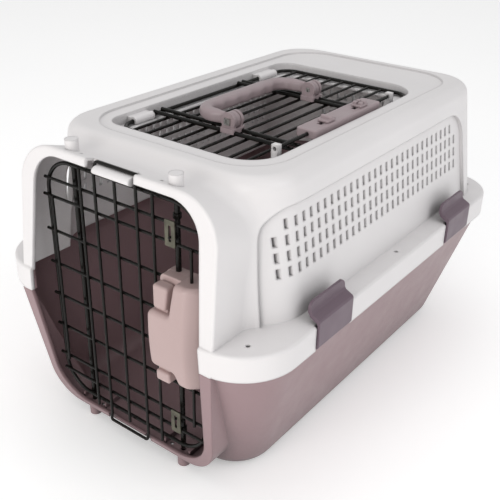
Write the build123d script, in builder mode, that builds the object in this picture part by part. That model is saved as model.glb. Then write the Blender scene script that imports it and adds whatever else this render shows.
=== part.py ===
from build123d import *
import os

# Pet transport carrier, millimetres, +Z up, front doorway towards -Y, floor at Z = 0.

# ---------------------------------------------------------------- driving dimensions
LENGTH = 480.0            # over the skirt, along Y
SKIRT_HALF = 159.5        # half width over the skirt
SKIRT_RADIUS = 54.5       # plan corner radius of the skirt
SKIRT_WALL = 2.8
SEAM_Z = 138.5            # lower edge of the skirt
LEDGE_Z = 162.5           # top of the ledge round the shell
LEDGE_UNDER = 159.5       # underside of the ledge, where the tub rim stops
FRONT_Y = -240.0
LEAN_UP = 0.10            # how far the front face leans back per mm above the seam
LEAN_DOWN = 0.146         # and below the seam
LIP = 3.5                 # thickness of the front face frame
WALL = 2.8

BODY_LOW = (143.0, -200.0, 232.0, 55.0)   # half width, front, back, corner radius at the ledge
BODY_TOP = (125.0, -184.0, 220.0, 46.0)   # the same at the roof
ROOF_Z = 286.3
ROOF_ROUND = 12.0
RECESS = 4.0              # depth of the vent panels
HOOD_FALL = 0.30          # slope of the hood behind the doorway

TUB_RIM = (155.2, -236.0, 236.0, 51.0)
TUB_FLOOR = (115.4, -196.0, 196.0, 40.0)
TUB_ROUND = 20.0

OPEN_UP = (103.0, 93.5, 277.0, 31.0)      # doorway: half width at seam, at top, top, radius
OPEN_DOWN = (103.0, 94.0, 18.3, 36.0)
NOSE_UP = (115.5, 112.0, 289.4, 40.0)
NOSE_DOWN = (115.5, 101.5, 13.5, 34.0)

VENT_PITCH = 10.8
VENT_ROW = 13.67
VENT_Z = 205.2            # lowest row
VENT_Y = -166.2           # first column
VENT_COLS = 31
VENT_ROWS = 4
VENT_W = 3.8
VENT_H = 9.0
BACK_COLS = 15

ROOF_LEDGE = (103.0, -165.0, 203.0, 44.0)
POCKET = (88.7, -148.2, 141.8, 34.0)
POCKET_HINGE_R = 18.0          # tighter corners on the side the door swings to
POCKET_Z = 274.5
ROOF_OPEN = (76.0, -134.0, 128.0, 26.0)

# front door
ROD_X = 59.3
ROD_Y = -212.6
ROD_R = 2.4
THIN_R = 1.4
WIRE_V_Y = -222.3
WIRE_H_Y = -219.7
FRAME_Y = -217.1
FRAME_R = 1.8
V_SHORT = (-42.0, 0.0, 42.0)
V_LOOP = 24.0
H_LEVELS = (45.5, 62.6, 96.9, 131.2, 165.5, 199.8, 234.1, 251.2)
FRAME_TOP = 269.5
FRAME_LOW = 26.5
FIT = 0.07                # radial running fit of every pin

# roof door
ROOF_WIRE_Z = 277.5
ROOF_HINGE_X = -81.0
ROOF_FRAME = (-81.0, 83.0, -138.0, 134.0, 18.0)
ROOF_FRAME_R = 2.0
ROOF_THIN_Z = 277.2
CROSS_Z = 280.3
CROSS_Y = (-89.0, -78.0, 44.0, 52.0)

HANDLE_X = 12.0
HANDLE_Z = 290.6
HANDLE_FRONT = -83.5
HANDLE_REAR = 48.0

LATCH_X = 77.0
LATCH_Z = 284.7
BOLT_R = 1.8

CLIP_Y = (-128.0, 122.0)
CLIP_WIDE = 54.0
CLIP_PIVOT = (157.8, 142.6)
CLIP_PIN_R = 1.1

os.makedirs("parts", exist_ok=True)


def plan(z, half, y_front, y_back, radius):
    """Rounded rectangle seen from above, at height z."""
    with BuildSketch(Plane.XY.offset(z)) as outline:
        with Locations((0, (y_front + y_back) / 2)):
            RectangleRounded(2 * half, y_back - y_front, radius)
    return outline.sketch


def pocket_plan(z, grow=0.0):
    """Roof pocket outline, with tight corners on its hinge side to clear the open door."""
    half, y_front, y_back, radius = POCKET
    length = y_back - y_front + 2 * grow
    strip = 2 * POCKET_HINGE_R + 8
    with BuildSketch(Plane.XY.offset(z)) as outline:
        with Locations((0, (y_front + y_back) / 2)):
            RectangleRounded(2 * (half + grow), length, radius + grow)
        with Locations((strip / 2 - half, (y_front + y_back) / 2)):
            RectangleRounded(strip + 2 * grow, length, POCKET_HINGE_R + grow)
    return outline.sketch


def taper(low, z_low, top, z_top, shrink=0.0):
    """The two sections of a tapered box, moved inwards by shrink."""
    section = []
    for size, z in ((low, z_low), (top, z_top)):
        half, y_front, y_back, radius = size
        section.append(
            plan(z, half - shrink, y_front + shrink, y_back - shrink, radius - shrink)
        )
    return section


def front_outline(y, size, shrink=0.0, z_seam=SEAM_Z):
    """Half of the doorway outline, seen from the front, on a plane at y."""
    seam_half, end_half, z_end, radius = size
    upper = z_end > z_seam
    z_last = z_end - shrink if upper else z_end + shrink
    with BuildSketch(Plane.XZ.offset(-y)) as outline:
        with BuildLine():
            Polyline(
                (-(seam_half - shrink), z_seam),
                (-(end_half - shrink), z_last),
                (end_half - shrink, z_last),
                (seam_half - shrink, z_seam),
                close=True,
            )
        make_face()
        ends = vertices().group_by(Axis.Y)[-1 if upper else 0]
        fillet(ends, radius - shrink)
    return outline.sketch


def lean_y(z):
    """Y of the front face at height z."""
    if z > SEAM_Z:
        return FRONT_Y + LEAN_UP * (z - SEAM_Z)
    return FRONT_Y + LEAN_DOWN * (SEAM_Z - z)


def in_front(depth):
    """Section, seen from the side, of all that lies ahead of the front face."""
    with BuildSketch(Plane.YZ) as ahead:
        with BuildLine():
            Polyline(
                (-300, -20),
                (lean_y(-20) + depth, -20),
                (lean_y(SEAM_Z) + depth, SEAM_Z),
                (lean_y(320) + depth, 320),
                (-300, 320),
                close=True,
            )
        make_face()
    return ahead.sketch


def span(edge, y_low, y_high, z_low, z_high):
    """Whether an edge lies between two Y limits and tops out between two heights."""
    box = edge.bounding_box()
    return y_low < box.min.Y and box.max.Y < y_high and z_low + 1 < box.max.Z < z_high


def rod(x, y, z_low, z_high, radius, mode=Mode.ADD):
    """Upright round bar."""
    with Locations((x, y, (z_low + z_high) / 2)):
        Cylinder(radius, z_high - z_low, mode=mode)


def bar_x(x_low, x_high, y, z, radius, mode=Mode.ADD):
    """Round bar along X."""
    with Locations(((x_low + x_high) / 2, y, z)):
        Cylinder(radius, x_high - x_low, rotation=(0, 90, 0), mode=mode)


def bar_y(x, y_low, y_high, z, radius, mode=Mode.ADD):
    """Round bar along Y."""
    with Locations((x, (y_low + y_high) / 2, z)):
        Cylinder(radius, y_high - y_low, rotation=(90, 0, 0), mode=mode)


def block(x, y, z, mode=Mode.ADD):
    """Box from low and high limits on each axis."""
    with Locations(((x[0] + x[1]) / 2, (y[0] + y[1]) / 2, (z[0] + z[1]) / 2)):
        Box(x[1] - x[0], y[1] - y[0], z[1] - z[0], mode=mode)


# ---------------------------------------------------------------- top shell cutters
with BuildPart() as vent_panel:
    # side panels: rounded towards the roof, running out at the ledge
    with BuildSketch(Plane.YZ):
        with BuildLine():
            Polyline(
                (-186, LEDGE_Z),
                (-178, 262),
                (170, 262),
                (178, LEDGE_Z),
                close=True,
            )
        make_face()
        fillet(vertices().group_by(Axis.Y)[-1], 30)
    extrude(amount=170, both=True)
    loft(taper(BODY_LOW, LEDGE_UNDER, BODY_TOP, ROOF_Z, RECESS), mode=Mode.SUBTRACT)

with BuildPart() as skirt_band:
    band = plan(SEAM_Z, SKIRT_HALF, -LENGTH / 2, LENGTH / 2, SKIRT_RADIUS)
    extrude(band, amount=LEDGE_Z - SEAM_Z)
    fillet(faces().sort_by(Axis.Z)[-1].edges(), 2.6)

with BuildPart() as tunnel:
    # inside of the nose behind the doorway
    extrude(front_outline(FRONT_Y, NOSE_UP, WALL), amount=86, dir=(0, 1, -HOOD_FALL))
    extrude(in_front(LIP), amount=200, both=True, mode=Mode.SUBTRACT)
    block((-200, 200), (-300, -100), (60, SEAM_Z), Mode.SUBTRACT)

# ---------------------------------------------------------------- top shell
with BuildPart() as top_shell:
    loft(taper(BODY_LOW, LEDGE_UNDER, BODY_TOP, ROOF_Z))
    fillet(faces().sort_by(Axis.Z)[-1].edges(), ROOF_ROUND)
    # nose with the upper half of the doorway
    extrude(front_outline(FRONT_Y, NOSE_UP), amount=76, dir=(0, 1, -HOOD_FALL))
    block((-200, 200), (-300, 0), (60, SEAM_Z), Mode.SUBTRACT)
    extrude(in_front(0), amount=200, both=True, mode=Mode.SUBTRACT)
    # hollow blend between nose and body, and a rounded rim on the nose
    fillet(edges().filter_by(lambda e: span(e, -194, -179, LEDGE_UNDER, 274)), 16.0)
    fillet(edges().filter_by(lambda e: span(e, -241, -222, 165, 290)), 2.0)
    add(vent_panel.part, mode=Mode.SUBTRACT)
    # skirt and ledge
    add(skirt_band.part)
    # hollow
    cabin = taper(BODY_LOW, SEAM_Z - 5, BODY_TOP, ROOF_Z - 4.5, RECESS + WALL)
    loft(cabin, mode=Mode.SUBTRACT)
    skirt = plan(SEAM_Z, SKIRT_HALF - SKIRT_WALL, FRONT_Y + LIP, LENGTH / 2 - SKIRT_WALL,
                 SKIRT_RADIUS - SKIRT_WALL)
    extrude(skirt, amount=LEDGE_UNDER - SEAM_Z, mode=Mode.SUBTRACT)
    add(tunnel.part, mode=Mode.SUBTRACT)
    extrude(front_outline(-245, OPEN_UP), amount=-27, mode=Mode.SUBTRACT)
    # roof ledge, pocket and roof opening
    extrude(pocket_plan(POCKET_Z - 3, 3.0), amount=ROOF_Z - 1 - (POCKET_Z - 3))
    extrude(plan(ROOF_Z - 2, *ROOF_LEDGE), amount=5, mode=Mode.SUBTRACT)
    extrude(pocket_plan(POCKET_Z), amount=20, mode=Mode.SUBTRACT)
    extrude(plan(POCKET_Z - 10, *ROOF_OPEN), amount=20, mode=Mode.SUBTRACT)
    # rod bosses on the hood and their sockets
    for side in (-1, 1):
        rod(side * ROD_X, ROD_Y, 277.5, 291.3, 6.0)
        rod(side * ROD_X, ROD_Y, 274, 288.6, ROD_R + FIT, Mode.SUBTRACT)
    # gap in the lip for the wire loop, with its half round tab
    block((-29.5, 26), (-245, -216.3), (272, 300), Mode.SUBTRACT)
    with BuildSketch(Plane.YZ):
        with Locations((-221.5, 275.8)):
            Ellipse(5.2, 3.6)
    extrude(amount=20.5)
    with BuildSketch(Plane.YZ):
        with Locations((-221.5, 275.8)):
            Ellipse(5.2, 3.6)
    extrude(amount=-21.5)
    block((-21.5, 20.5), (-220.5, -213.5), (275.5, 279.7))
    block((-21.5, 20.5), (-216.2, -213.5), (275.5, 282.0))
    # side vents, both walls at once
    slots = []
    for row in range(VENT_ROWS):
        first = 1 if row == VENT_ROWS - 1 else 0
        for col in range(first, VENT_COLS - first):
            slots.append((0, VENT_Y + VENT_PITCH * col, VENT_Z + VENT_ROW * row))
    with Locations(*slots):
        Box(320, VENT_W, VENT_H, mode=Mode.SUBTRACT)
    # back vents
    slots = []
    for row in range(VENT_ROWS):
        for col in range(BACK_COLS):
            x = VENT_PITCH * (col - (BACK_COLS - 1) / 2)
            slots.append((x, 225, VENT_Z + VENT_ROW * row))
    with Locations(*slots):
        Box(VENT_W, 50, VENT_H, mode=Mode.SUBTRACT)
    # tie holes through the ledge and the hood
    for side in (-1, 1):
        for x, y in ((131.0, -212.5), (146.8, 6.2), (131.0, 212.5)):
            rod(side * x, y, 155, 170, 2.0, Mode.SUBTRACT)
        rod(side * 46, -214.5, 270, 290, 1.5, Mode.SUBTRACT)
    # skirt gaps for the clips
    for side in (-1, 1):
        for y in CLIP_Y:
            half = CLIP_WIDE / 2 + 0.8
            low = min(side * 156.3, side * 170)
            block((low, low + 13.7), (y - half, y + half), (130, 170), Mode.SUBTRACT)
    # roof hinge clips: three quarter tubes round the left frame wire
    for y_low, y_high in ((-118.4, -92.4), (80.5, 112.0)):
        block((-92, ROOF_HINGE_X), (y_low, y_high), (POCKET_Z - 1, 281.0))
        bar_y(ROOF_HINGE_X, y_low, y_high, ROOF_WIRE_Z, 4.4)
        bar_y(ROOF_HINGE_X, y_low - 1, y_high + 1, ROOF_WIRE_Z,
              ROOF_FRAME_R + FIT, Mode.SUBTRACT)
    # keepers for the roof bolts
    for y in (-105.0, 96.0):
        block((73.4, 80.2), (y - 3, y + 3), (POCKET_Z - 3, 288.4))
        bar_y(LATCH_X, y - 4, y + 4, LATCH_Z, BOLT_R + FIT, Mode.SUBTRACT)
top_shell.part.label = "top_shell"
export_step(top_shell.part, "parts/top_shell.step")

# ---------------------------------------------------------------- base tub
with BuildPart() as tub_tunnel:
    extrude(front_outline(-245, NOSE_DOWN, WALL), amount=-75)
    extrude(in_front(LIP), amount=200, both=True, mode=Mode.SUBTRACT)

with BuildPart() as tub_hollow:
    loft(taper(TUB_FLOOR, 3.0, TUB_RIM, SEAM_Z, WALL))
    fillet(faces().sort_by(Axis.Z)[0].edges(), TUB_ROUND - WALL)
    extrude(plan(SEAM_Z, TUB_RIM[0] - WALL, TUB_RIM[1] + WALL, TUB_RIM[2] - WALL,
                 TUB_RIM[3] - WALL), amount=30)

with BuildPart() as base_tub:
    loft(taper(TUB_FLOOR, 0, TUB_RIM, SEAM_Z))
    fillet(faces().sort_by(Axis.Z)[0].edges(), TUB_ROUND)
    extrude(plan(SEAM_Z, *TUB_RIM), amount=LEDGE_UNDER - SEAM_Z)
    # nose with the lower half of the doorway
    extrude(front_outline(-245, NOSE_DOWN), amount=-60)
    extrude(in_front(0), amount=200, both=True, mode=Mode.SUBTRACT)
    # rod sockets, which are also the front feet
    for side in (-1, 1):
        rod(side * ROD_X, ROD_Y, 0, 20, 6.0)
    # hollow
    add(tub_hollow.part, mode=Mode.SUBTRACT)
    add(tub_tunnel.part, mode=Mode.SUBTRACT)
    extrude(front_outline(-245, OPEN_DOWN), amount=-32, mode=Mode.SUBTRACT)
    block((-OPEN_DOWN[0], OPEN_DOWN[0]), (-250, -215), (SEAM_Z - 0.5, 170), Mode.SUBTRACT)
    block((-200, 200), (-250, FRONT_Y + LIP + 0.2), (SEAM_Z, 170), Mode.SUBTRACT)
    for side in (-1, 1):
        rod(side * ROD_X, ROD_Y, 5, 30, ROD_R + FIT, Mode.SUBTRACT)
        rod(side * 46, -213.5, 5, 30, 2.0, Mode.SUBTRACT)
        # gutter ribs beside the sockets
        for x in (70, 40):
            block((side * x - 1, side * x + 1), (-217, -196), (15.0, 21.5))
    # gap in the lip for the wire loop
    block((-29.5, 26), (-245, -219.9), (-5, 16.9), Mode.SUBTRACT)
    block((-29.5, -20.5), (-245, -219.9), (10, 24), Mode.SUBTRACT)
    block((19.5, 26), (-245, -219.9), (10, 24), Mode.SUBTRACT)
    # lugs for the clip pins
    for side in (-1, 1):
        for y in CLIP_Y:
            for shift in (-20.0, 20.0):
                low = y + shift - 2
                bar_y(side * CLIP_PIVOT[0], low, low + 4, CLIP_PIVOT[1], 2.1)
                ends = sorted((side * 154.5, side * CLIP_PIVOT[0]))
                block(ends, (low, low + 4), (CLIP_PIVOT[1] - 2.1, CLIP_PIVOT[1] + 2.1))
                bar_y(side * CLIP_PIVOT[0], low - 1, low + 5, CLIP_PIVOT[1],
                      CLIP_PIN_R, Mode.SUBTRACT)
base_tub.part.label = "base_tub"
export_step(base_tub.part, "parts/base_tub.step")

# ---------------------------------------------------------------- side clips and their pins
PX, PZ = CLIP_PIVOT
for side, word in ((1, "right"), (-1, "left")):
    for y, place in zip(CLIP_Y, ("front", "rear")):
        with BuildPart() as side_clip:
            with BuildSketch(Plane.XZ.offset(-(y - CLIP_WIDE / 2))):
                with BuildLine():
                    Polyline(
                        (PX + 1.4, PZ - 2.5),
                        (PX + 2.8, PZ - 1.9),
                        (PX + 3.8, PZ - 0.2),
                        (161.6, 166.6),
                        (160.4, 168.6),
                        (153.6, 172.0),
                        (152.2, 174.0),
                        (151.4, 182.4),
                        (149.0, 182.4),
                        (149.2, 173.0),
                        (151.6, 168.8),
                        (158.4, 165.0),
                        (159.2, 163.4),
                        (159.2, PZ - 2.0),
                        close=True,
                    )
                make_face()
                with Locations((PX, PZ)):
                    Circle(2.35)
            extrude(amount=-CLIP_WIDE)
            corners = edges().filter_by(Axis.X).group_by(Axis.Z)[-1]
            fillet(corners, 6.0)
            for shift in (-20.0, 20.0):
                bar_y(PX, y + shift - 2.4, y + shift + 2.4, PZ, 2.45, Mode.SUBTRACT)
                block((150, PX), (y + shift - 2.4, y + shift + 2.4),
                      (PZ - 2.6, PZ + 3.0), Mode.SUBTRACT)
                block((PX - 2.6, PX + 2.6), (y + shift - 2.4, y + shift + 2.4),
                      (PZ - 6.0, PZ), Mode.SUBTRACT)
            bar_y(PX, y - 40, y + 40, PZ, CLIP_PIN_R + FIT, Mode.SUBTRACT)
            if side < 0:
                mirror(about=Plane.YZ, mode=Mode.REPLACE)
        name = "side_clip_" + word + "_" + place
        side_clip.part.label = name
        export_step(side_clip.part, "parts/" + name + ".step")
        with BuildPart() as clip_pin:
            bar_y(side * PX, y - 26, y + 26, PZ, CLIP_PIN_R)
        name = "clip_pin_" + word + "_" + place
        clip_pin.part.label = name
        export_step(clip_pin.part, "parts/" + name + ".step")

# ---------------------------------------------------------------- front door
with BuildPart() as front_door_grid:
    # frame loop, following the doorway
    with BuildLine() as loop:
        FilletPolyline(
            (-90.0, FRAME_Y, FRAME_LOW),
            (-90.4, FRAME_Y, FRAME_TOP),
            (90.4, FRAME_Y, FRAME_TOP),
            (90.0, FRAME_Y, FRAME_LOW),
            radius=31,
            close=True,
        )
    with BuildSketch(Plane(origin=loop.line @ 0, z_dir=loop.line % 0)):
        Circle(FRAME_R)
    sweep(path=loop.line)
    # short uprights, welded to the front of the cross wires
    for x in V_SHORT:
        rod(x, WIRE_V_Y, 23.6, 271.8, THIN_R)
    for x in (-80.5, 81.7):
        rod(x, WIRE_V_Y, 60.6, 236.0, THIN_R)
    # cross wires
    for z in H_LEVELS:
        half = 94.4
        if z > 240 or z < 50:
            half = 91.0
        bar_x(-half, half, WIRE_H_Y + 0.1, z, THIN_R)
    # the pair joined in a loop above and below
    for end, back, tip in ((1, -218.6, 281.6), (-1, -224.0, 15.2)):
        with BuildLine() as hoop:
            FilletPolyline(
                (-V_LOOP, WIRE_V_Y, 150),
                (-V_LOOP, WIRE_V_Y, tip - 7 * end),
                (-V_LOOP, back, tip),
                (V_LOOP, back, tip),
                (V_LOOP, WIRE_V_Y, tip - 7 * end),
                (V_LOOP, WIRE_V_Y, 150),
                radius=2.2,
            )
        with BuildSketch(Plane(origin=hoop.line @ 0, z_dir=hoop.line % 0)):
            Circle(THIN_R)
        sweep(path=hoop.line)
    # hinge rod and its welds to the frame
    rod(-ROD_X, ROD_Y, 5.5, 288.1, ROD_R)
    for z in (FRAME_LOW + 0.6, FRAME_TOP):
        with Locations((-ROD_X, (FRAME_Y + ROD_Y) / 2, z)):
            Cylinder(1.5, ROD_Y - FRAME_Y, rotation=(90, 0, 0))
front_door_grid.part.label = "front_door_grid"
export_step(front_door_grid.part, "parts/front_door_grid.step")

PLATE_Y = (WIRE_H_Y + 0.1 - THIN_R - 1.2, WIRE_H_Y + 0.1 - THIN_R)
for word, z_low, z_high, s_low, s_high in (
    ("upper", 231.0, 254.4, 235.4, 250.0),
    ("lower", 42.4, 65.8, 47.0, 61.2),
):
    with BuildPart() as guide_plate:
        block((53.9, 64.7), PLATE_Y, (z_low, z_high))
        fillet(edges().filter_by(Axis.Y), 1.2)
        with BuildSketch(Plane.XZ.offset(-PLATE_Y[1] - 1)):
            with Locations((ROD_X, (s_low + s_high) / 2)):
                SlotOverall(s_high - s_low, 2.8, rotation=90)
        extrude(amount=4, both=True, mode=Mode.SUBTRACT)
    name = "door_guide_plate_" + word
    guide_plate.part.label = name
    export_step(guide_plate.part, "parts/" + name + ".step")

# latch rods: bar, guide pin through the plate slot
for word, z_low, z_high, pin_z in (
    ("upper", 166.0, 276.0, 239.4),
    ("lower", 19.2, 128.0, 57.4),
):
    with BuildPart() as latch_rod:
        rod(ROD_X, ROD_Y, z_low, z_high, ROD_R)
        bar_y(ROD_X, -223.4, ROD_Y, pin_z, 1.0)
    name = "door_latch_rod_" + word
    latch_rod.part.label = name
    export_step(latch_rod.part, "parts/" + name + ".step")

for word, z in (("upper", 255.5), ("lower", 41.0)):
    with BuildPart() as collar:
        rod(ROD_X, ROD_Y, z - 2, z + 2, 3.6)
        rod(ROD_X, ROD_Y, z - 3, z + 3, ROD_R, Mode.SUBTRACT)
    name = "door_rod_collar_" + word
    collar.part.label = name
    export_step(collar.part, "parts/" + name + ".step")

# latch housing halves, clamped over the wires
COVER_FRONT = -234.4
COVER_BACK = -224.1
LATCH_SCREW_X = 76.4
with BuildPart() as door_latch_front_cover:
    with BuildSketch(Plane.XZ.offset(-COVER_BACK)):
        with BuildLine():
            Polyline(
                (71.0, 206.5),
                (96.5, 206.5),
                (96.5, 108.5),
                (74.0, 108.5),
                (71.0, 119.5),
                (45.0, 119.5),
                (45.0, 176.0),
                (68.0, 176.0),
                close=True,
            )
        make_face()
        fillet(vertices().filter_by(lambda v: v.X > 90 or v.X < 50), 5)
    extrude(amount=COVER_BACK - COVER_FRONT)
    fillet(faces().sort_by(Axis.Y)[0].edges(), 3.0)
    block((47, 94.5), (-232.6, -220), (121.5, 174.5), Mode.SUBTRACT)
    block((73.5, 94.5), (-232.6, -220), (110.5, 204.5), Mode.SUBTRACT)
    block((50.2, 69.6), (-232.8, -220), (110, 190), Mode.SUBTRACT)
    for z in (118.0, 186.0):
        bar_y(LATCH_SCREW_X, -233.5, -215.1, z, 2.6)
        bar_y(LATCH_SCREW_X, -227, -214, z, 1.1, Mode.SUBTRACT)
door_latch_front_cover.part.label = "door_latch_front_cover"
export_step(door_latch_front_cover.part, "parts/door_latch_front_cover.step")

with BuildPart() as door_latch_back_cover:
    block((48, 95), (-215.1, -205.6), (110.5, 205.5))
    fillet(edges().filter_by(Axis.Y), 5)
    fillet(faces().sort_by(Axis.Y)[-1].edges(), 2.0)
    block((80, 93), (-216, -207.6), (124, 180), Mode.SUBTRACT)
    rod(ROD_X, ROD_Y, 100, 215, ROD_R + FIT, Mode.SUBTRACT)
    block((55.4, 63.2), (-216, -212.0), (164, 198), Mode.SUBTRACT)
    block((55.4, 63.2), (-216, -212.0), (101, 129.4), Mode.SUBTRACT)
    for z in (118.0, 186.0):
        bar_y(LATCH_SCREW_X, -216, -205, z, 1.1, Mode.SUBTRACT)
        bar_y(LATCH_SCREW_X, -207.2, -205, z, 2.4, Mode.SUBTRACT)
door_latch_back_cover.part.label = "door_latch_back_cover"
export_step(door_latch_back_cover.part, "parts/door_latch_back_cover.step")

for word, z in (("upper", 186.0), ("lower", 118.0)):
    with BuildPart() as latch_screw:
        bar_y(LATCH_SCREW_X, -226, -207.2, z, 1.1)
        bar_y(LATCH_SCREW_X, -207.2, -205.7, z, 2.3)
        block((LATCH_SCREW_X - 0.4, LATCH_SCREW_X + 0.4), (-206.5, -205), (z - 1.8, z + 1.8), Mode.SUBTRACT)
    name = "door_latch_screw_" + word
    latch_screw.part.label = name
    export_step(latch_screw.part, "parts/" + name + ".step")

# knobs: finger piece, hidden tongue and stem reaching the rod between the wires
for word, tongue, finger, stem in (
    ("upper", (166.0, 196.0), (178.6, 201.0), (170.4, 185.4)),
    ("lower", (108.5, 130.0), (106.5, 117.0), (112.0, 124.0)),
):
    with BuildPart() as knob:
        block((50.8, 67.0), (-232.4, -226.4), tongue)
        block((50.8, 67.0), (-236.0, -226.4), finger)
        outer = faces().sort_by(Axis.Y)[0].edges()
        fillet(outer, 1.6)
        block((56.0, 62.6), (-227, ROD_Y), stem)
        rod(ROD_X, ROD_Y, 90, 215, ROD_R, Mode.SUBTRACT)
    name = "door_latch_knob_" + word
    knob.part.label = name
    export_step(knob.part, "parts/" + name + ".step")

# ---------------------------------------------------------------- roof door
with BuildPart() as roof_door_grid:
    x_low, x_high, y_low, y_high, bend = ROOF_FRAME
    with BuildLine() as loop:
        FilletPolyline(
            (x_low, y_low, ROOF_WIRE_Z),
            (x_high, y_low, ROOF_WIRE_Z),
            (x_high, y_high, ROOF_WIRE_Z),
            (x_low, y_high, ROOF_WIRE_Z),
            radius=bend,
            close=True,
        )
    with BuildSketch(Plane(origin=loop.line @ 0, z_dir=loop.line % 0)):
        Circle(ROOF_FRAME_R)
    sweep(path=loop.line)
    for step in range(-4, 5):
        bar_y(16.0 * step, y_low, y_high, ROOF_THIN_Z, THIN_R)
    for y in CROSS_Y:
        bar_x(x_low, x_high, y, CROSS_Z, ROOF_FRAME_R)
roof_door_grid.part.label = "roof_door_grid"
export_step(roof_door_grid.part, "parts/roof_door_grid.step")

# handle mounts: saddle over a pair of cross bars, two cheeks and a pin
for word, middle, bars, head in (
    ("front", HANDLE_FRONT, CROSS_Y[:2], -1),
    ("rear", HANDLE_REAR, CROSS_Y[2:], 1),
):
    with BuildPart() as handle_mount:
        block((HANDLE_X - 8, HANDLE_X + 8), (middle - 9.5, middle + 9.5), (279.2, 284.4))
        fillet(edges().filter_by(Axis.Z), 2.5)
        for sign in (-1, 1):
            y = middle + sign * 5.2
            bar_y(HANDLE_X, y - 1.7, y + 1.7, HANDLE_Z, 8.0)
            block((HANDLE_X - 7, HANDLE_X + 7), (y - 1.7, y + 1.7), (282, HANDLE_Z))
        bar_y(HANDLE_X, middle - 9, middle + 9, HANDLE_Z, 2.6, Mode.SUBTRACT)
        for y in bars:
            bar_x(-20, 40, y, CROSS_Z, ROOF_FRAME_R + 0.3, Mode.SUBTRACT)
        block((-20, 40), (middle - 20, middle + 20), (270, CROSS_Z - 0.6), Mode.SUBTRACT)
        # the eye turns between the cheeks
        bar_y(HANDLE_X, middle - 3.5, middle + 3.5, HANDLE_Z, 8.4, Mode.SUBTRACT)
    name = "handle_mount_" + word
    handle_mount.part.label = name
    export_step(handle_mount.part, "parts/" + name + ".step")
    with BuildPart() as handle_pin:
        bar_y(HANDLE_X, middle - 6.9, middle + 6.9, HANDLE_Z, 2.6)
        ends = sorted((middle + head * 6.9, middle + head * 8.9))
        block((HANDLE_X - 3.2, HANDLE_X + 3.2), ends, (HANDLE_Z - 3.2, HANDLE_Z + 3.2))
    name = "handle_pin_" + word
    handle_pin.part.label = name
    export_step(handle_pin.part, "parts/" + name + ".step")

GRIP_X = -28.0
with BuildPart() as carry_handle:
    with BuildSketch(Plane.XY.offset(284.6)):
        with BuildLine() as spine:
            FilletPolyline(
                (HANDLE_X - 6, HANDLE_FRONT),
                (GRIP_X + 8, HANDLE_FRONT),
                (GRIP_X, HANDLE_FRONT + 14),
                (GRIP_X, HANDLE_REAR - 14),
                (GRIP_X + 8, HANDLE_REAR),
                (HANDLE_X - 6, HANDLE_REAR),
                radius=8,
            )
        trace(line_width=13)
        with Locations((GRIP_X, (HANDLE_FRONT + HANDLE_REAR) / 2)):
            RectangleRounded(17, 88, 4)
        for step in (-1.5, -0.5, 0.5, 1.5):
            with Locations((GRIP_X + 21.5, (HANDLE_FRONT + HANDLE_REAR) / 2 + 21 * step)):
                Circle(15.0, mode=Mode.SUBTRACT)
    extrude(amount=12.0)
    for y in (HANDLE_FRONT, HANDLE_REAR):
        block((HANDLE_X - 9.6, 60), (y - 12, y + 12), (280, 300), Mode.SUBTRACT)
    for y, low in ((HANDLE_FRONT, -1), (HANDLE_REAR, 1)):
        bar_y(HANDLE_X, y - 3.2, y + 3.2, HANDLE_Z, 7.9)
        block((HANDLE_X - 12, HANDLE_X), (y - 3.2, y + 3.2), (284.9, 296.3))
        bar_y(HANDLE_X, y - 6, y + 6, HANDLE_Z, 2.6 + FIT, Mode.SUBTRACT)
carry_handle.part.label = "carry_handle"
export_step(carry_handle.part, "parts/carry_handle.step")

# ---------------------------------------------------------------- roof latch
LATCH_SIDE = (64.5, 86.0)
LATCH_END = (-58.0, 61.0)
with BuildPart() as roof_latch_cover:
    block(LATCH_SIDE, LATCH_END, (281.0, 289.0))
    fillet(edges().filter_by(Axis.Z), 3.0)
    fillet(faces().sort_by(Axis.Z)[-1].edges(), 1.5)
    block((66.5, 84.0), (-56, 59), (275, 287.0), Mode.SUBTRACT)
    for y in CROSS_Y[2:]:
        bar_x(60, 90, y, CROSS_Z, ROOF_FRAME_R + 0.3, Mode.SUBTRACT)
        block((60, 90), (y - 2.3, y + 2.3), (275, CROSS_Z), Mode.SUBTRACT)
    bar_y(LATCH_X, -62, 66, LATCH_Z, BOLT_R + FIT, Mode.SUBTRACT)
    for y_low, y_high in ((-39.0, -13.0), (21.0, 47.0)):
        block((LATCH_X - 2.6, LATCH_X + 2.6), (y_low, y_high), (285, 292), Mode.SUBTRACT)
roof_latch_cover.part.label = "roof_latch_cover"
export_step(roof_latch_cover.part, "parts/roof_latch_cover.step")

with BuildPart() as roof_latch_base:
    # plate under the thin part of the housing, clipped on the frame wire
    block((66.9, 80.6), (-55.5, 40.5), (279.8, 281.6))
    for y in (-50.0, -5.0):
        block((66.9, 70.9), (y - 3, y + 3), (281, 287.0))
roof_latch_base.part.label = "roof_latch_base"
export_step(roof_latch_base.part, "parts/roof_latch_base.step")

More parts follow.
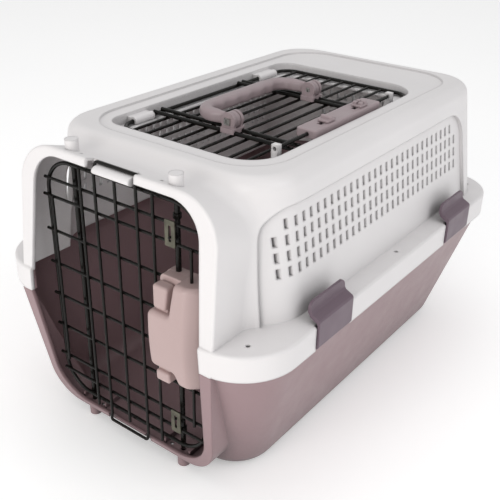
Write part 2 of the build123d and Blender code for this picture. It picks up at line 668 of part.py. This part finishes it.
for word, y_low, y_high, knob_y, ribs in (
    ("front", -100.6, -18.0, -26.0, 1),
    ("rear", 26.0, 91.6, 34.0, 2),
):
    with BuildPart() as roof_bolt:
        bar_y(LATCH_X, y_low, y_high, LATCH_Z, BOLT_R)
    name = "roof_bolt_" + word
    roof_bolt.part.label = name
    export_step(roof_bolt.part, "parts/" + name + ".step")
    with BuildPart() as roof_knob:
        block((LATCH_X - 2.2, LATCH_X + 2.2), (knob_y - 4, knob_y + 4), (LATCH_Z, 290.5))
        block((LATCH_X - 6, LATCH_X + 6), (knob_y - 7, knob_y + 7), (289.3, 291.4))
        if ribs == 1:
            block((LATCH_X - 6, LATCH_X + 6), (knob_y - 2, knob_y + 2), (291, 294.5))
        else:
            for x in (-5.2, 0.8):
                for y in (-5.5, 0.7):
                    block((LATCH_X + x, LATCH_X + x + 4.4),
                          (knob_y + y, knob_y + y + 4.8), (291, 294.0))
        bar_y(LATCH_X, knob_y - 10, knob_y + 10, LATCH_Z, BOLT_R, Mode.SUBTRACT)
    name = "roof_latch_knob_" + word
    roof_knob.part.label = name
    export_step(roof_knob.part, "parts/" + name + ".step")
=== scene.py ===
import math

import bmesh
import bpy
from mathutils import Matrix, Vector


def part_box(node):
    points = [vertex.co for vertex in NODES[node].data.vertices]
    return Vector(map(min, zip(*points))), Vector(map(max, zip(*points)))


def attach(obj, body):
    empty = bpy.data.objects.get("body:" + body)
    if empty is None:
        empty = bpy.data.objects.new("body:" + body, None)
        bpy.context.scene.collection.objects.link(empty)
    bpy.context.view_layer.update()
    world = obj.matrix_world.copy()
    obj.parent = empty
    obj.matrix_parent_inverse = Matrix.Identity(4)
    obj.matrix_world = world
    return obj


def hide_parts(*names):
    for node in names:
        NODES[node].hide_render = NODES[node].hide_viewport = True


# Pet transport carrier, in metres and in the frame of the CAD model. Six CAD nodes are replaced
# by pieces with softer shapes: the door latch housing, its two knobs, the carry handle and the
# two roof latch knobs. Their outlines are in millimetres, and make_piece scales them. Every
# other CAD node keeps its shape and gets a material.
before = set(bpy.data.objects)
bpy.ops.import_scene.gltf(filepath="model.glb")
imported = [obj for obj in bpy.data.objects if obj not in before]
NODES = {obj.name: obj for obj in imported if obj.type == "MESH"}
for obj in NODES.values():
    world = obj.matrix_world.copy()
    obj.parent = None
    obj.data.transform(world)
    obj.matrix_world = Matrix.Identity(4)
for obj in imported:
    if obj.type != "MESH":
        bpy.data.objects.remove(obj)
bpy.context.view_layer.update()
MM = 0.001

# ---------------------------------------------------------------- colours, linear
SHELL_COLOUR = (0.755, 0.735, 0.738)
MAUVE_COLOUR = (0.290, 0.192, 0.203)
PLUM_COLOUR = (0.142, 0.098, 0.126)
LATCH_COLOUR = (0.440, 0.325, 0.315)
HANDLE_COLOUR = (0.330, 0.262, 0.275)
WIRE_COLOUR = (0.006, 0.0055, 0.0045)
ZINC_COLOUR = (0.110, 0.105, 0.080)
STEEL_COLOUR = (0.560, 0.550, 0.530)
# The next colour is the painted shade that darkens deep corners and the inside of the shell and
# the tub.
PAINTED_SHADE_COLOUR = (0.012, 0.008, 0.011, 1.0)
FLOOR_COLOUR = (0.93, 0.93, 0.93)
WHITE = (1.0, 1.0, 1.0, 1.0)

# ---------------------------------------------------------------- settings of every finish
COLOUR_BAND = (0.35, 0.65)    # the noise values between which the colour changes
GLOSS_BAND = (0.3, 0.7)       # the noise values between which the roughness changes
GLOSS_FINER = 6               # how much smaller the gloss patches are than the colour patches
COLOUR_DETAIL = 4.0
GLOSS_DETAIL = 3.0
GRAIN_DETAIL = 2.0
GRAIN_STRENGTH = 0.35
# Painted shade: colours darken where ambient occlusion finds nearby surfaces within this reach.
PAINTED_SHADE_REACH = 0.22            # metres over which a surface counts as sheltered
PAINTED_SHADE_BAND = (0.10, 0.50)     # how open a surface is where the painted shade starts to fade and where it ends


# ---------------------------------------------------------------- materials
def mix_tint(colour, amount):
    """A colour scaled towards dark or light, as RGBA."""
    return tuple(min(1.0, c * amount) for c in colour) + (1.0,)


def noise_node(tree, scale, detail, coords):
    """A noise texture read in object coordinates."""
    noise = tree.nodes.new("ShaderNodeTexNoise")
    noise.inputs["Scale"].default_value = scale
    noise.inputs["Detail"].default_value = detail
    tree.links.new(coords.outputs["Object"], noise.inputs["Vector"])
    return noise


def ramp_node(tree, source, low, high):
    """A two colour ramp driven by a noise factor."""
    ramp = tree.nodes.new("ShaderNodeValToRGB")
    for element, position, colour in zip(ramp.color_ramp.elements, COLOUR_BAND, (low, high)):
        element.position = position
        element.color = colour
    tree.links.new(source, ramp.inputs["Fac"])
    return ramp


def range_node(tree, source, band, low, high):
    """Maps a value within a band to a value from low to high."""
    spread = tree.nodes.new("ShaderNodeMapRange")
    spread.inputs["From Min"].default_value = band[0]
    spread.inputs["From Max"].default_value = band[1]
    spread.inputs["To Min"].default_value = low
    spread.inputs["To Max"].default_value = high
    tree.links.new(source, spread.inputs["Value"])
    return spread


def add_painted_shade(tree, unshaded_colour, painted_shade):
    """A colour with painted shade: it darkens towards a dark colour in deep corners and on the
    inside, where ambient occlusion finds nearby surfaces.
    """
    shelter = tree.nodes.new("ShaderNodeAmbientOcclusion")
    shelter.samples = 6
    shelter.inputs["Distance"].default_value = PAINTED_SHADE_REACH
    depth = range_node(tree, shelter.outputs["AO"], PAINTED_SHADE_BAND, painted_shade, 0.0)
    shade_mix = tree.nodes.new("ShaderNodeMix")
    shade_mix.data_type = "RGBA"
    unshaded_socket, painted_shade_socket = [i for i in shade_mix.inputs if i.type == "RGBA"]
    painted_shade_socket.default_value = PAINTED_SHADE_COLOUR
    tree.links.new(depth.outputs["Result"], shade_mix.inputs["Factor"])
    tree.links.new(unshaded_colour, unshaded_socket)
    return [o for o in shade_mix.outputs if o.type == "RGBA"][0]


def finish_material(name, colour, vary, rough, grain, edge=0.0, blotch=9.0, metal=0.0,
                    specular=0.5, painted_shade=0.0):
    """A procedural finish: uneven colour, uneven gloss, fine grain, softened edges and optional
    painted shade.

    vary is the colour spread, rough the roughness range, grain the bump as (scale, height in
    metres), edge the radius in metres that sharp edges are rounded to in the shading, blotch the
    scale of the colour patches, and the last argument sets how far painted shade darkens deep
    corners and the inside."""
    mat = bpy.data.materials.new(name)
    mat.use_nodes = True
    tree = mat.node_tree
    shader = tree.nodes["Principled BSDF"]
    shader.inputs["Metallic"].default_value = metal
    shader.inputs["Specular IOR Level"].default_value = specular
    coords = tree.nodes.new("ShaderNodeTexCoord")

    cloud = noise_node(tree, blotch, COLOUR_DETAIL, coords)
    tint = ramp_node(tree, cloud.outputs["Fac"], mix_tint(colour, 1 - vary),
                     mix_tint(colour, 1 + vary))
    surface = tint.outputs["Color"]
    # Painted shade: the colour darkens where ambient occlusion finds nearby surfaces.
    if painted_shade > 0:
        surface = add_painted_shade(tree, surface, painted_shade)
    tree.links.new(surface, shader.inputs["Base Color"])

    haze = noise_node(tree, blotch * GLOSS_FINER, GLOSS_DETAIL, coords)
    gloss = range_node(tree, haze.outputs["Fac"], GLOSS_BAND, *rough)
    tree.links.new(gloss.outputs["Result"], shader.inputs["Roughness"])

    fine = noise_node(tree, grain[0], GRAIN_DETAIL, coords)
    bump = tree.nodes.new("ShaderNodeBump")
    bump.inputs["Strength"].default_value = GRAIN_STRENGTH
    bump.inputs["Distance"].default_value = grain[1]
    tree.links.new(fine.outputs["Fac"], bump.inputs["Height"])
    if edge > 0:
        bevel = tree.nodes.new("ShaderNodeBevel")
        bevel.samples = 8
        bevel.inputs["Radius"].default_value = edge
        tree.links.new(bevel.outputs["Normal"], bump.inputs["Normal"])
    tree.links.new(bump.outputs["Normal"], shader.inputs["Normal"])
    return mat


# The shell and the tub get painted shade in their deep corners and on the inside.
SHELL = finish_material("shell_white", SHELL_COLOUR, vary=0.018, rough=(0.32, 0.42),
                        grain=(900, 0.00012), edge=0.0030, painted_shade=0.60)
MAUVE = finish_material("tub_mauve", MAUVE_COLOUR, vary=0.014, rough=(0.36, 0.44),
                        grain=(900, 0.00014), edge=0.0024, painted_shade=0.93)
PLUM = finish_material("clip_plum", PLUM_COLOUR, vary=0.045, rough=(0.34, 0.46),
                       grain=(1100, 0.00010), edge=0.0008)
LATCH = finish_material("latch_mauve", LATCH_COLOUR, vary=0.035, rough=(0.32, 0.44),
                        grain=(1100, 0.00010), edge=0.0008)
WIRE = finish_material("wire_black", WIRE_COLOUR, vary=0.30, rough=(0.16, 0.27),
                       grain=(500, 0.00006), blotch=60.0, specular=0.22)
ROD = finish_material("rod_black", WIRE_COLOUR, vary=0.30, rough=(0.20, 0.32),
                      grain=(600, 0.00005), blotch=60.0, specular=0.22)
HANDLE = finish_material("handle_mauve", HANDLE_COLOUR, vary=0.035, rough=(0.30, 0.42),
                         grain=(1100, 0.00010), edge=0.0008)
ZINC = finish_material("plate_zinc", ZINC_COLOUR, vary=0.22, rough=(0.30, 0.46),
                       grain=(700, 0.00008), edge=0.0004, blotch=120.0, metal=0.85)
STEEL = finish_material("pin_steel", STEEL_COLOUR, vary=0.10, rough=(0.24, 0.38),
                        grain=(800, 0.00005), blotch=80.0, metal=1.0)

# The first key that a node's name contains decides its material. The housing and the knobs of
# the door latch contain none of them, and are LATCH.
MATERIALS = (
    ("clip_pin", STEEL),
    ("guide_plate", ZINC),
    ("screw", STEEL),
    ("rod", ROD),
    ("bolt", ROD),
    ("grid", WIRE),
    ("side_clip", PLUM),
    ("handle_pin", STEEL),
    ("handle", HANDLE),
    ("roof_latch", HANDLE),
    ("top_shell", SHELL),
    ("base_tub", MAUVE),
)
for node_name, node in NODES.items():
    finish = LATCH
    for key, mat in MATERIALS:
        if key in node_name:
            finish = mat
            break
    for mat_slot in node.material_slots:
        mat_slot.material = finish

# ---------------------------------------------------------------- mesh helpers, millimetres
CORNER_STEPS = 7
RIM_STEPS = 5
MITRE_LIMIT = 0.35
MERGE_DISTANCE = 0.001
SLIVER_LENGTH = 0.0005


def node_box(name):
    """The lowest and highest corner of a CAD node, to a tenth of a millimetre."""
    return [[round(value / MM, 1) for value in corner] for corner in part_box(name)]


def smooth_step(value):
    """An ease from 0 to 1."""
    value = max(0.0, min(1.0, value))
    return value * value * (3 - 2 * value)


def front_plane(x, z, depth):
    """Outline in X and Z, depth along Y."""
    return (x, depth, z)


def floor_plane(x, y, depth):
    """Outline in X and Y, depth along Z."""
    return (x, y, depth)


def rounded(points):
    """A closed outline with its corners rounded; each point is (u, v, radius)."""
    line = []
    for i, (u, v, radius) in enumerate(points):
        here = Vector((u, v))
        back = (Vector(points[i - 1][:2]) - here).normalized()
        ahead = (Vector(points[(i + 1) % len(points)][:2]) - here).normalized()
        half = back.angle(ahead) / 2
        reach = radius / math.tan(half)
        centre = here + (back + ahead).normalized() * (radius / math.sin(half))
        start = here + back * reach - centre
        sweep = start.angle_signed(here + ahead * reach - centre)
        for k in range(CORNER_STEPS + 1):
            turn = Matrix.Rotation(-sweep * k / CORNER_STEPS, 2)
            line.append(centre + turn @ start)
    return line


def block_line(u_low, u_high, v_low, v_high, radius):
    """A rectangle with rounded corners."""
    return rounded([(u_low, v_low, radius), (u_high, v_low, radius),
                    (u_high, v_high, radius), (u_low, v_high, radius)])


def inset(line, distance):
    """The outline moved inwards; the outline runs anticlockwise."""
    moved = []
    for i, here in enumerate(line):
        a = (here - line[i - 1]).normalized()
        b = (line[(i + 1) % len(line)] - here).normalized()
        normal = Vector((-(a.y + b.y), a.x + b.x)).normalized()
        stretch = 1 / max(MITRE_LIMIT, normal.dot(Vector((-a.y, a.x))))
        moved.append(here + normal * distance * stretch)
    return moved


def bridge(bm, lower, upper):
    """The faces between two rings of the same number of points."""
    for i in range(len(lower)):
        j = (i + 1) % len(lower)
        bm.faces.new((lower[i], lower[j], upper[j], upper[i]))


def skin_rings(bm, rings):
    """The faces along a stack of rings, and one at each end."""
    for lower, upper in zip(rings, rings[1:]):
        bridge(bm, lower, upper)
    bm.faces.new(rings[0][::-1])
    bm.faces.new(rings[-1])


def add_slab(bm, line, low, high, rims, place):
    """A plate between two depths with rounded rims.

    rims are the radii at the low and the high side, and place maps (u, v, depth) to a point."""
    levels = []
    for k in range(RIM_STEPS + 1):
        angle = math.pi / 2 * k / RIM_STEPS
        levels.append((rims[0] * (1 - math.sin(angle)), low + rims[0] * (1 - math.cos(angle))))
    for k in range(RIM_STEPS + 1):
        angle = math.pi / 2 * (1 - k / RIM_STEPS)
        levels.append((rims[1] * (1 - math.sin(angle)), high - rims[1] * (1 - math.cos(angle))))
    rings = []
    for shift, depth in levels:
        rings.append([bm.verts.new(place(p.x, p.y, depth)) for p in inset(line, shift)])
    skin_rings(bm, rings)


def make_piece(name, bm, node, body, mat):
    """Turns a bmesh in millimetres into a smooth piece that stands for a CAD node."""
    bmesh.ops.remove_doubles(bm, verts=bm.verts, dist=MERGE_DISTANCE)
    bmesh.ops.dissolve_degenerate(bm, edges=bm.edges, dist=SLIVER_LENGTH)
    bmesh.ops.recalc_face_normals(bm, faces=bm.faces)
    bmesh.ops.scale(bm, vec=(MM, MM, MM), verts=bm.verts)
    mesh = bpy.data.meshes.new(name)
    bm.to_mesh(mesh)
    bm.free()
    mesh.polygons.foreach_set("use_smooth", [True] * len(mesh.polygons))
    mesh.materials.append(mat)
    obj = bpy.data.objects.new(name, mesh)
    bpy.context.scene.collection.objects.link(obj)
    weighted = obj.modifiers.new("even_normals", "WEIGHTED_NORMAL")
    weighted.mode = "FACE_AREA_WITH_ANGLE"
    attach(obj, body)
    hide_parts(node)


# ---------------------------------------------------------------- door latch housing
cover_low, cover_high = node_box("door_latch_front_cover")
COVER_LEFT, COVER_FRONT, COVER_BOTTOM = cover_low
COVER_RIGHT, COVER_SEAM, COVER_TOP = cover_high
COVER_BACK = COVER_SEAM - 0.3      # leaves a fine joint to the back cover
WIDE_BOTTOM = 119.5                # the wide middle of the housing, between the finger rests
WIDE_TOP = 176.0
CROWN = 4.6                        # how far the middle bows forwards
CROWN_CUTS = 20
SIDE_FALL = 8.5                    # how far the right edge falls back
SIDE_FALL_START = 83.0
SIDE_FALL_WIDTH = 13.5
SIDE_CUTS = [*range(54, 80, 6), *range(82, 96, 2)]
CORE_FRONT = -224.6                # the surface behind the knobs


def crown_cover(bm):
    """Bows the housing forwards at mid height and lets its right edge fall back."""
    middle = (COVER_BOTTOM + COVER_TOP) / 2
    half = (COVER_TOP - COVER_BOTTOM) / 2
    planes = [((0, 0, COVER_BOTTOM + 2 * half * k / CROWN_CUTS), (0, 0, 1))
              for k in range(1, CROWN_CUTS)]
    planes += [((x, 0, 0), (1, 0, 0)) for x in SIDE_CUTS]
    for point, normal in planes:
        geometry = bm.verts[:] + bm.edges[:] + bm.faces[:]
        bmesh.ops.bisect_plane(bm, geom=geometry, plane_co=point, plane_no=normal)
    for vert in bm.verts:
        share = smooth_step((COVER_BACK - vert.co.y) / (COVER_BACK - COVER_FRONT))
        bow = CROWN * (1 - ((vert.co.z - middle) / half) ** 2)
        fall = SIDE_FALL * smooth_step((vert.co.x - SIDE_FALL_START) / SIDE_FALL_WIDTH)
        vert.co.y += share * (fall - bow)


bm = bmesh.new()
cover_line = rounded([
    (71.5, COVER_TOP, 4.5),
    (68.2, WIDE_TOP, 3.0),
    (COVER_LEFT, WIDE_TOP, 5.5),
    (COVER_LEFT, WIDE_BOTTOM, 5.5),
    (70.5, WIDE_BOTTOM, 3.0),
    (74.5, COVER_BOTTOM, 5.0),
    (COVER_RIGHT, COVER_BOTTOM, 6.5),
    (COVER_RIGHT, COVER_TOP, 6.5),
])
add_slab(bm, cover_line, COVER_FRONT, COVER_BACK, rims=(4.2, 0.4), place=front_plane)
crown_cover(bm)
core_line = block_line(COVER_LEFT + 4, COVER_RIGHT - 1.5, COVER_BOTTOM + 2.5, COVER_TOP - 1,
                       radius=5)
add_slab(bm, core_line, CORE_FRONT, COVER_BACK, rims=(1.2, 0.2), place=front_plane)
make_piece("door_latch_cover_piece", bm, "door_latch_front_cover", "front_door", LATCH)

# ---------------------------------------------------------------- door latch knobs
KNOB_BACK = -226.4
TONGUE_FRONT = -232.4
TONGUE_CUTS = (3.0, 3.0)

# Each knob is a tongue and a finger rest that stands further forward. Cuts are how far the
# right edge stands back at its lower and its upper corner.
for word, tongue, finger, finger_cuts in (
    ("upper", (166.0, 196.0), (178.6, 201.0), (3.0, 0.0)),
    ("lower", (108.5, 130.0), (106.5, 117.0), (0.0, 2.0)),
):
    node_name = "door_latch_knob_" + word
    (left, knob_front, _), (right, _, _) = node_box(node_name)
    bm = bmesh.new()
    for (bottom, top), face, rim, (low_cut, high_cut) in (
        (tongue, TONGUE_FRONT, 1.2, TONGUE_CUTS),
        (finger, knob_front, 2.4, finger_cuts),
    ):
        corner = rim + 0.4
        line = rounded([(left, top, corner), (left, bottom, corner),
                        (right - low_cut, bottom, corner), (right - high_cut, top, corner)])
        add_slab(bm, line, face, KNOB_BACK, rims=(rim, 0.3), place=front_plane)
    make_piece("door_knob_piece_" + word, bm, node_name, "door_latch_" + word, LATCH)

# ---------------------------------------------------------------- carry handle
pin_low, pin_high = node_box("handle_pin_front")
HANDLE_X = (pin_low[0] + pin_high[0]) / 2
HANDLE_Z = (pin_low[2] + pin_high[2]) / 2
EYE_FRONT, EYE_REAR = [sum(corner[1] for corner in node_box("handle_mount_" + word)) / 2
                       for word in ("front", "rear")]

ARM_X = 5.0                # where the arms start, inside the eyes
ARM_STEPS = 8
ARM_SWELL_X = 2.0          # where the arms start to swell
ARM_SWELL_LENGTH = 12.0
BEND = 17.0
BEND_STEPS = 12
GRIP_X = -28.0
GRIP_MIDDLE = (EYE_FRONT + EYE_REAR) / 2
GRIP_STEPS = 64
GRIP_END = 48.0            # how far from its middle the grip's swell ends
GRIP_FADE = 9.0            # the length over which it grows to its full size
WAVE = 21.0                # from one finger wave to the next

SECTION_SIDES = 28
SECTION_POWER = 0.72       # 1 is an ellipse, and less is squarer
NECK_HALF = (3.2, 5.6)     # half the width and half the height beside the eyes
ARM_SWELL = (3.3, 0.4)     # what the arms and the grip add to them
GRIP_SWELL = 2.0           # what the grip adds to half the width
WAVE_DEPTH = 1.7

EYE_SIDES = 48
EYE_HALF = 3.2
EYE_HOLE = 2.7
EYE_HOLE_RIM = 0.4
EYE_OUTER = 7.9
EYE_RIM = 1.5
EYE_RIM_STEPS = 5


def handle_path():
    """The handle's middle line, from the front eye round the grip to the rear eye."""
    line = []
    for k in range(ARM_STEPS + 1):
        line.append(Vector((ARM_X - (ARM_X - GRIP_X - BEND) * k / ARM_STEPS, EYE_FRONT)))
    for k in range(1, BEND_STEPS + 1):
        angle = math.pi / 2 * k / BEND_STEPS
        line.append(Vector((GRIP_X + BEND * (1 - math.sin(angle)),
                            EYE_FRONT + BEND * (1 - math.cos(angle)))))
    front_end = line[:-1]
    straight = EYE_REAR - EYE_FRONT - 2 * BEND
    for k in range(1, GRIP_STEPS + 1):
        line.append(Vector((GRIP_X, EYE_FRONT + BEND + straight * k / GRIP_STEPS)))
    for point in reversed(front_end):
        line.append(Vector((point.x, EYE_FRONT + EYE_REAR - point.y)))
    return line


def add_grip(bm):
    """Sweeps a rounded section along the handle, with finger waves inside the grip."""
    line = handle_path()
    rings = []
    for i, here in enumerate(line):
        along = (line[min(i + 1, len(line) - 1)] - line[max(i - 1, 0)]).normalized()
        inner = Vector((along.y, -along.x))
        arm = smooth_step((ARM_SWELL_X - here.x) / ARM_SWELL_LENGTH)
        grip = smooth_step((GRIP_END - abs(here.y - GRIP_MIDDLE)) / GRIP_FADE)
        base = NECK_HALF[0] + ARM_SWELL[0] * arm
        outer_half = base + GRIP_SWELL * grip
        ripple = 0.5 + 0.5 * math.cos(2 * math.pi * (here.y - GRIP_MIDDLE - WAVE / 2) / WAVE)
        inner_half = base + (GRIP_SWELL - WAVE_DEPTH * ripple) * grip
        tall = NECK_HALF[1] + ARM_SWELL[1] * arm
        ring = []
        for k in range(SECTION_SIDES):
            angle = 2 * math.pi * k / SECTION_SIDES
            c, s = math.cos(angle), math.sin(angle)
            wide = inner_half if c > 0 else outer_half
            across = wide * math.copysign(abs(c) ** SECTION_POWER, c)
            rise = tall * math.copysign(abs(s) ** SECTION_POWER, s)
            spot = here + inner * across
            ring.append(bm.verts.new((spot.x, spot.y, HANDLE_Z + rise)))
        rings.append(ring)
    skin_rings(bm, rings)


def add_eye(bm, y):
    """A ring about the fold axis with rounded rims."""
    profile = [(EYE_HOLE, -EYE_HALF + EYE_HOLE_RIM), (EYE_HOLE + EYE_HOLE_RIM, -EYE_HALF)]
    for k in range(EYE_RIM_STEPS + 1):
        angle = math.pi / 2 * k / EYE_RIM_STEPS
        profile.append((EYE_OUTER - EYE_RIM * (1 - math.sin(angle)),
                        -EYE_HALF + EYE_RIM * (1 - math.cos(angle))))
    profile += [(r, -w) for r, w in reversed(profile)]
    rings = []
    for k in range(EYE_SIDES):
        angle = 2 * math.pi * k / EYE_SIDES
        rings.append([bm.verts.new((HANDLE_X + r * math.cos(angle), y + w,
                                    HANDLE_Z + r * math.sin(angle))) for r, w in profile])
    for here, following in zip(rings, rings[1:] + rings[:1]):
        bridge(bm, here, following)


bm = bmesh.new()
add_grip(bm)
for eye_y in (EYE_FRONT, EYE_REAR):
    add_eye(bm, eye_y)
make_piece("carry_handle_piece", bm, "carry_handle", "handle", HANDLE)

# ---------------------------------------------------------------- roof latch knobs
STEM_HALF = (2.2, 4.0)
STEM_Z = (286.6, 290.5)
PLATE_Z = (289.3, 291.4)
GRIP_FOOT = 290.6
RIDGE_HALF = 2.2
PAD_SIZE = (4.4, 4.8)
PAD_X = (-5.2, 0.8)
PAD_Y = (-5.5, 0.7)

# Both knobs are a plate on a stem. The front one has a ridge on it, the rear one four pads.
for word in ("front", "rear"):
    node_name = "roof_latch_knob_" + word
    (left, near, _), (right, far, top) = node_box(node_name)
    x, y = (left + right) / 2, (near + far) / 2
    bm = bmesh.new()
    stem = block_line(x - STEM_HALF[0], x + STEM_HALF[0], y - STEM_HALF[1], y + STEM_HALF[1],
                      radius=0.8)
    add_slab(bm, stem, *STEM_Z, rims=(0.2, 0.2), place=floor_plane)
    plate = block_line(left, right, near, far, radius=1.6)
    add_slab(bm, plate, *PLATE_Z, rims=(0.5, 0.8), place=floor_plane)
    if word == "front":
        ridge = block_line(left, right, y - RIDGE_HALF, y + RIDGE_HALF, radius=1.8)
        add_slab(bm, ridge, GRIP_FOOT, top, rims=(0.1, 1.6), place=floor_plane)
    else:
        for pad_x in PAD_X:
            for pad_y in PAD_Y:
                pad = block_line(x + pad_x, x + pad_x + PAD_SIZE[0],
                                 y + pad_y, y + pad_y + PAD_SIZE[1], radius=1.2)
                add_slab(bm, pad, GRIP_FOOT, top, rims=(0.1, 1.0), place=floor_plane)
    make_piece("roof_knob_piece_" + word, bm, node_name, "roof_latch_" + word, HANDLE)

# ---------------------------------------------------------------- camera
CAMERA_PLACE = Vector((0.43466, -0.62084, 0.51705))
CAMERA_BACK = Vector((0.52773, -0.70962, 0.46683)).normalized()
CAMERA_ROLL = math.radians(1.20885)
CAMERA_LENS = 55.98
CAMERA_SENSOR = 36.0

level = Vector((0, 0, 1)).cross(CAMERA_BACK).normalized()
upward = CAMERA_BACK.cross(level)
camera_x = math.cos(CAMERA_ROLL) * level + math.sin(CAMERA_ROLL) * upward
camera_y = CAMERA_BACK.cross(camera_x)
camera_turn = Matrix((camera_x, camera_y, CAMERA_BACK)).transposed().to_4x4()
camera_data = bpy.data.cameras.new("camera")
camera_data.lens = CAMERA_LENS
camera_data.sensor_width = CAMERA_SENSOR
camera = bpy.data.objects.new("camera", camera_data)
bpy.context.scene.collection.objects.link(camera)
camera.matrix_world = Matrix.Translation(CAMERA_PLACE) @ camera_turn
bpy.context.scene.camera = camera

# ---------------------------------------------------------------- floor
FLOOR_HALF = 60.0
FLOOR_GLOW = 0.27

floor_mesh = bpy.data.meshes.new("floor")
bm = bmesh.new()
bmesh.ops.create_grid(bm, x_segments=4, y_segments=4, size=FLOOR_HALF)
bm.to_mesh(floor_mesh)
bm.free()
floor_finish = finish_material("floor_pale", FLOOR_COLOUR, vary=0.004, rough=(0.62, 0.70),
                               grain=(200, 0.00005), blotch=2.0)
floor_shader = floor_finish.node_tree.nodes["Principled BSDF"]
floor_shader.inputs["Emission Color"].default_value = WHITE
floor_shader.inputs["Emission Strength"].default_value = FLOOR_GLOW
floor_mesh.materials.append(floor_finish)
floor = bpy.data.objects.new("floor", floor_mesh)
bpy.context.scene.collection.objects.link(floor)

# ---------------------------------------------------------------- light
WORLD_STRENGTH = 0.62
LAMP_TARGET = Vector((0.0, -0.02, 0.15))
WARM = (1.0, 0.975, 0.945)
NEUTRAL = (1.0, 1.0, 1.0)
COOL = (0.97, 0.98, 1.0)


def area_light(name, place, size, power, tint):
    """A soft rectangular lamp that faces the carrier."""
    data = bpy.data.lights.new(name, "AREA")
    data.shape = "RECTANGLE"
    data.size, data.size_y = size
    data.energy = power
    data.color = tint
    lamp = bpy.data.objects.new(name, data)
    lamp.location = place
    lamp.rotation_euler = (LAMP_TARGET - Vector(place)).to_track_quat("-Z", "Y").to_euler()
    bpy.context.scene.collection.objects.link(lamp)


area_light("key_front", (0.10, -1.6, 0.60), size=(1.1, 1.1), power=9.5, tint=WARM)
area_light("top_soft", (-0.3, 0.2, 1.9), size=(1.4, 1.4), power=4.0, tint=NEUTRAL)
area_light("side_soft", (1.35, 0.0, 1.25), size=(0.9, 1.2), power=4.5, tint=COOL)

world = bpy.data.worlds.new("studio")
bpy.context.scene.world = world
world.use_nodes = True
background = world.node_tree.nodes["Background"]
background.inputs["Color"].default_value = WHITE
background.inputs["Strength"].default_value = WORLD_STRENGTH
bpy.context.scene.view_settings.view_transform = "Standard"
